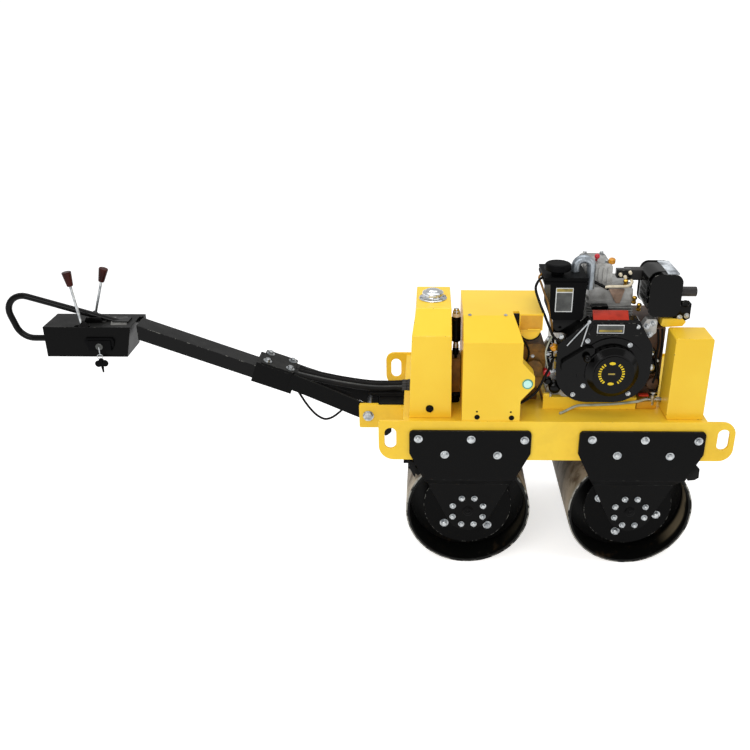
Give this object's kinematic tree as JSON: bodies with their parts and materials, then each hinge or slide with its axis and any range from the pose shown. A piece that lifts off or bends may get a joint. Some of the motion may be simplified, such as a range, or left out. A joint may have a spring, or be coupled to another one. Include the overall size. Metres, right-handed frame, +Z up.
{
  "type": "walk-behind double-drum road roller",
  "caption": "Walk-behind double-drum road roller with an open engine, tanks and belt cover on its deck and a tilting steering handle with a control box.",
  "frame": {"origin": "middle of the plan, on the ground under the machine as it stands parked", "axes": "+X forwards, away from the handle; +Y to the left-hand side; +Z up"},
  "size_m": [2.4599, 0.606, 1.0778],
  "materials": {
    "yellow_paint": "gloss enamel over sheet and plate, scuffed",
    "black_paint": "semi-gloss black",
    "drum_steel": "worn bare steel with a polished rim",
    "zinc": "zinc-plated",
    "rubber": "matt",
    "black_plastic": "ribbed, matt",
    "knob_brown": "moulded",
    "engine_black": "satin black",
    "aluminium": "as cast",
    "elbow_grey": "grey",
    "exhaust_rust": "heat-stained",
    "pump_paint": "dull yellow-brown",
    "hose_clear": "cloudy soft hose",
    "red_plastic": "moulded"
  },
  "bodies": {
    "chassis": {"side_plate_right": "yellow_paint", "side_plate_left": "yellow_paint", "deck": "yellow_paint", "cross_members": "yellow_paint", "hitch_brackets": "yellow_paint", "hitch_bolt": "zinc", "rest_buffer": "rubber", "carrier_rear_right": "black_paint", "carrier_front_right": "black_paint", "carrier_rear_left": "black_paint", "carrier_front_left": "black_paint", "hub_housings": "black_paint", "scraper_bars": "black_paint", "oil_tank": "yellow_paint", "oil_cap": "zinc", "belt_cover": "yellow_paint", "hydraulic_pump": "pump_paint", "oil_filter": "black_paint", "engine_bed": "yellow_paint", "engine_block": "aluminium", "fan_shroud": "engine_black", "recoil_starter": "engine_black", "cylinder_fins": "aluminium", "rocker_cover": "aluminium", "air_filter": "black_plastic", "air_filter_lid": "black_plastic", "intake_cap": "black_plastic", "intake_elbow": "elbow_grey", "muffler": "engine_black", "muffler_guard": "engine_black", "tailpipe": "exhaust_rust", "exhaust_manifold": "exhaust_rust", "decompression_lever": "red_plastic", "water_tank": "yellow_paint", "drain_cock": "zinc", "drain_hose": "hose_clear"},
    "rear_roller": {"rear_drum": "drum_steel", "rear_buffer_discs": "black_paint", "rear_buffers": "rubber"},
    "front_roller": {"front_drum": "drum_steel", "front_buffer_discs": "black_paint", "front_buffers": "rubber"},
    "handle": {"handle_fork": "black_paint", "handle_tube": "black_paint", "joint_plate": "black_paint", "control_box": "black_paint", "handle_loop": "black_paint", "lever_rods": "zinc", "lever_knobs": "knob_brown", "switch_pocket": "black_plastic", "hose_sleeve": "rubber", "cable_loop": "rubber"}
  },
  "joints": [
    {"name": "rear_drum_turn", "type": "hinge", "parent": "chassis", "child": "rear_roller", "pos_m": [0.36203, 0, 0.2125], "axis": [0, 1, 0], "continuous": true},
    {"name": "front_drum_turn", "type": "hinge", "parent": "chassis", "child": "front_roller", "pos_m": [0.91903, 0, 0.2125], "axis": [0, 1, 0], "continuous": true},
    {"name": "handle_tilt", "type": "hinge", "parent": "chassis", "child": "handle", "pos_m": [0.01453, 0, 0.484], "axis": [0, 1, 0], "range_deg": [0, 65]}
  ]
}
